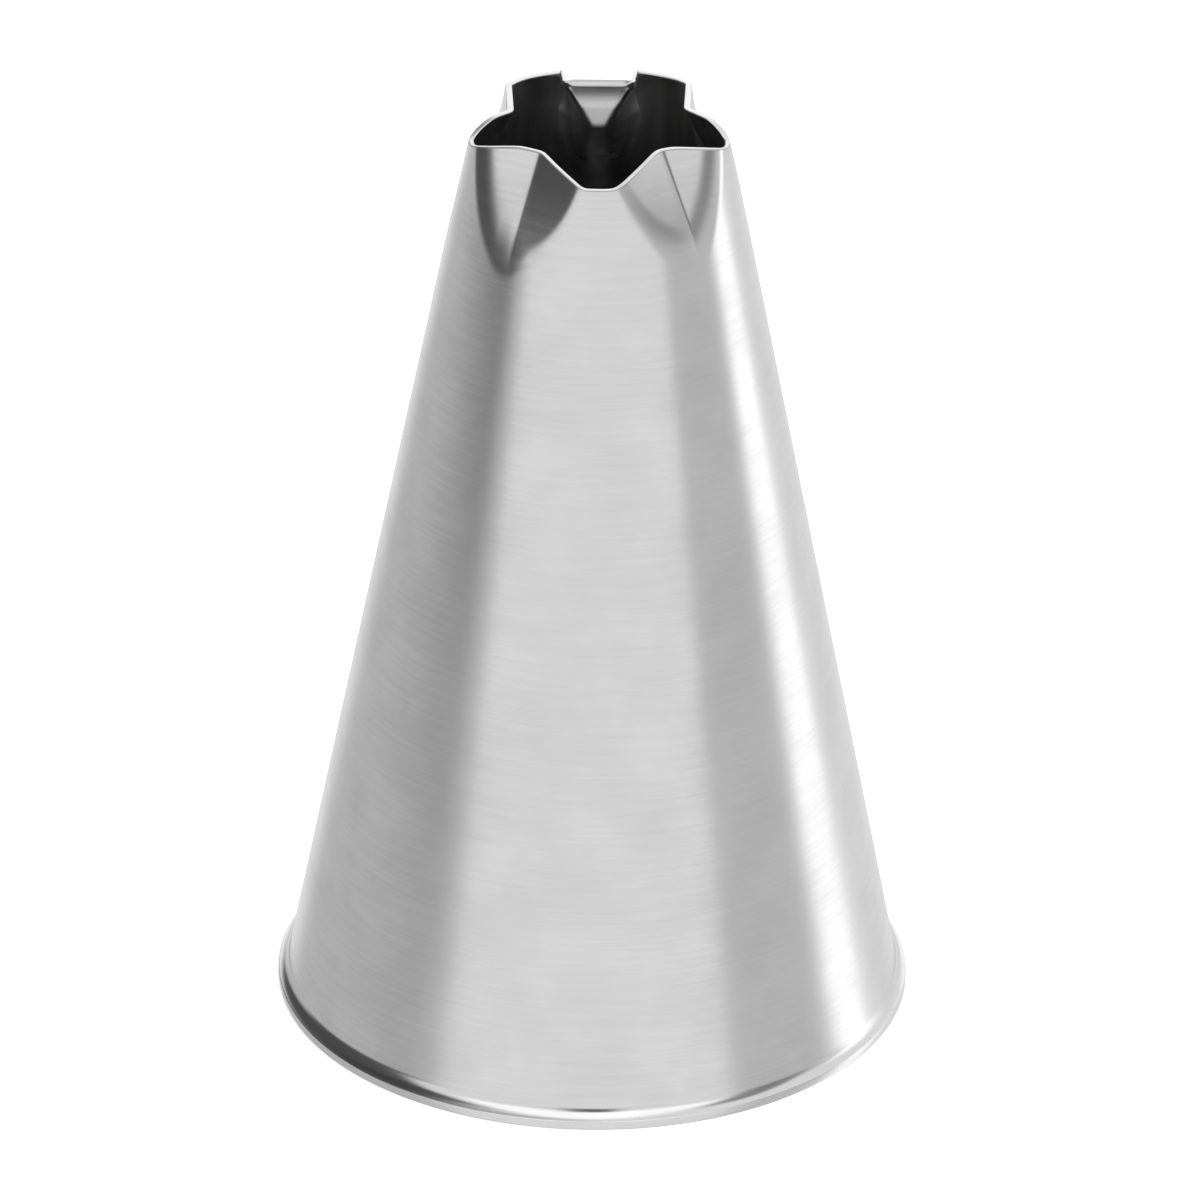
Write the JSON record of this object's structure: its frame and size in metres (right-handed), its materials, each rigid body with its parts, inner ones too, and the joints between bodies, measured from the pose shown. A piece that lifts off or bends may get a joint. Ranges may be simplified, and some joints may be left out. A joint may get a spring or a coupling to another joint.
{
  "type": "piping nozzle",
  "caption": "Conical sheet-steel piping nozzle for a pastry bag, with a flared base lip and a mouth creased into a petal-shaped opening for piping small drop flowers.",
  "frame": {"origin": "centre of the base lip's underside, on the surface that the nozzle stands on", "axes": "+Z along the cone's axis from the base to the mouth, -Y towards the front petal, +X to its right when seen from the front"},
  "size_m": [0.02, 0.02, 0.0293],
  "materials": {
    "satin_steel": "satin, with a fine grain round the cone"
  },
  "bodies": {
    "root": {"nozzle_shell": "satin_steel"}
  },
  "joints": []
}
